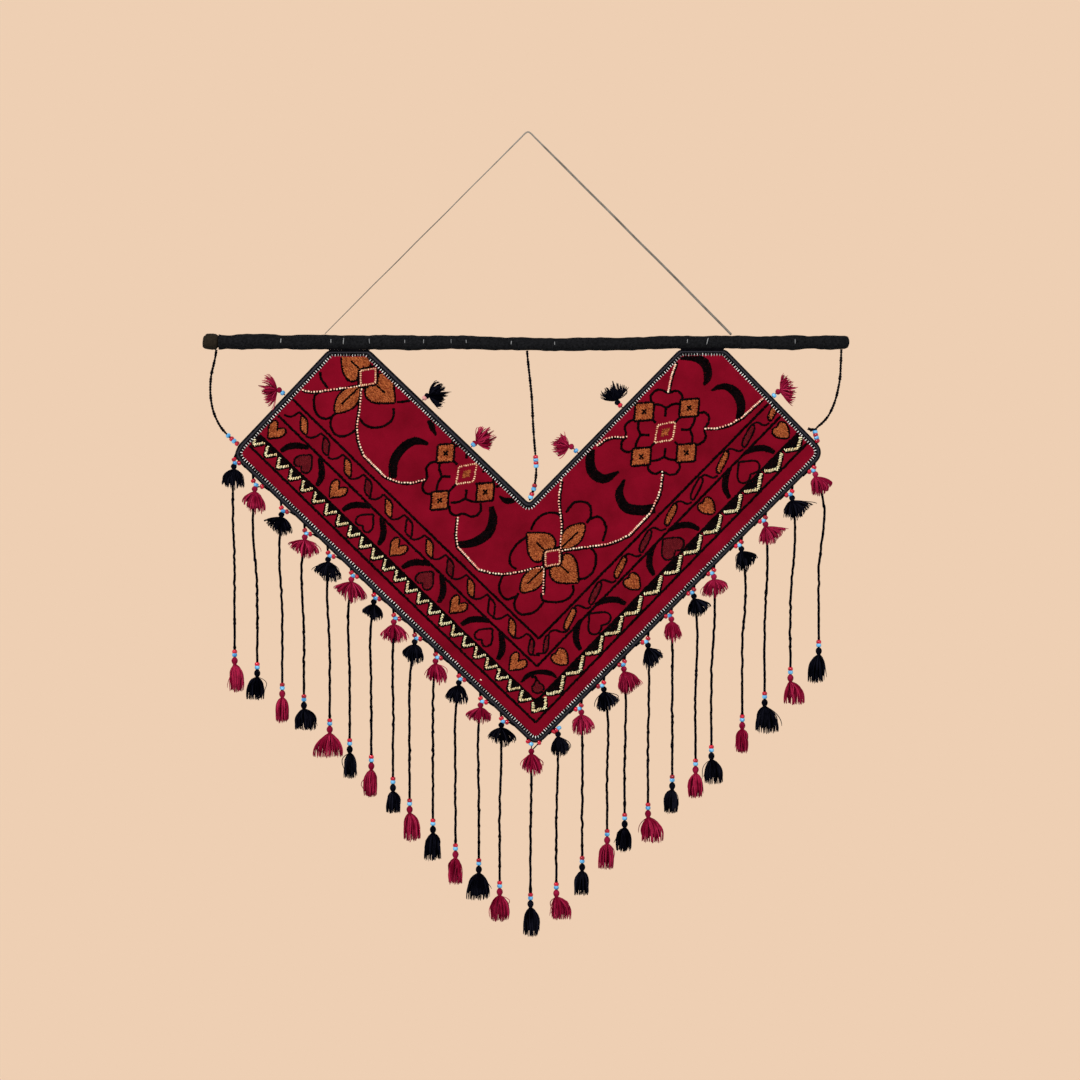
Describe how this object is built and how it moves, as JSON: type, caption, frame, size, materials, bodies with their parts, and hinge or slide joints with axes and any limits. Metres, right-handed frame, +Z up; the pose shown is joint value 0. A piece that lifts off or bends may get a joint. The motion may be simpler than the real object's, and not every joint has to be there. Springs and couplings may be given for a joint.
{
  "type": "wall hanging and rod",
  "caption": "V-shaped embroidered cloth on a cloth-covered rod with a hanging cord, beaded ties, side tassels and a fringe of tassels on strings.",
  "frame": {"origin": "top of the hanging cord, where it lies over the nail or hook", "axes": "+Z up, +X to the right seen from the front, so the front faces -Y and the wall is at +Y"},
  "size_m": [0.7755, 0.024, 0.9645],
  "materials": {
    "rod_wood": "dark bark-like wood, matt",
    "sleeve_cloth": "black cotton, matt",
    "crimson_cloth": "soft nap, crimson",
    "binding_braid": "ribbed black braid",
    "grey_cord": "twisted grey cord",
    "black_yarn": "black cotton yarn",
    "red_yarn": "crimson silky yarn",
    "cream_thread": "cream chain stitch",
    "orange_thread": "rust orange stitch",
    "black_thread": "black chain stitch",
    "white_thread": "off-white thread",
    "red_bead": "opaque glass, gloss",
    "blue_bead": "opaque glass, gloss"
  },
  "bodies": {
    "root": {"rod": "rod_wood", "rod_sleeve": "sleeve_cloth", "cloth": "crimson_cloth", "binding": "binding_braid", "hanging_cord": "grey_cord", "tie_left": "black_yarn", "tie_middle": "black_yarn", "tie_right": "black_yarn", "side_tassel_1": "red_yarn", "side_tassel_2": "black_yarn", "side_tassel_3": "red_yarn", "side_tassel_4": "red_yarn", "side_tassel_5": "black_yarn", "side_tassel_6": "red_yarn", "drop_01": "black_yarn", "drop_02": "red_yarn", "drop_03": "black_yarn", "drop_04": "red_yarn", "drop_05": "black_yarn", "drop_06": "red_yarn", "drop_07": "black_yarn", "drop_08": "red_yarn", "drop_09": "black_yarn", "drop_10": "red_yarn", "drop_11": "black_yarn", "drop_12": "red_yarn", "drop_13": "black_yarn", "drop_14": "red_yarn", "drop_15": "black_yarn", "drop_16": "red_yarn", "drop_17": "black_yarn", "drop_18": "red_yarn", "drop_19": "black_yarn", "drop_20": "red_yarn", "drop_21": "black_yarn", "drop_22": "red_yarn", "drop_23": "black_yarn", "drop_24": "red_yarn", "drop_25": "black_yarn", "drop_26": "red_yarn"}
  },
  "joints": []
}
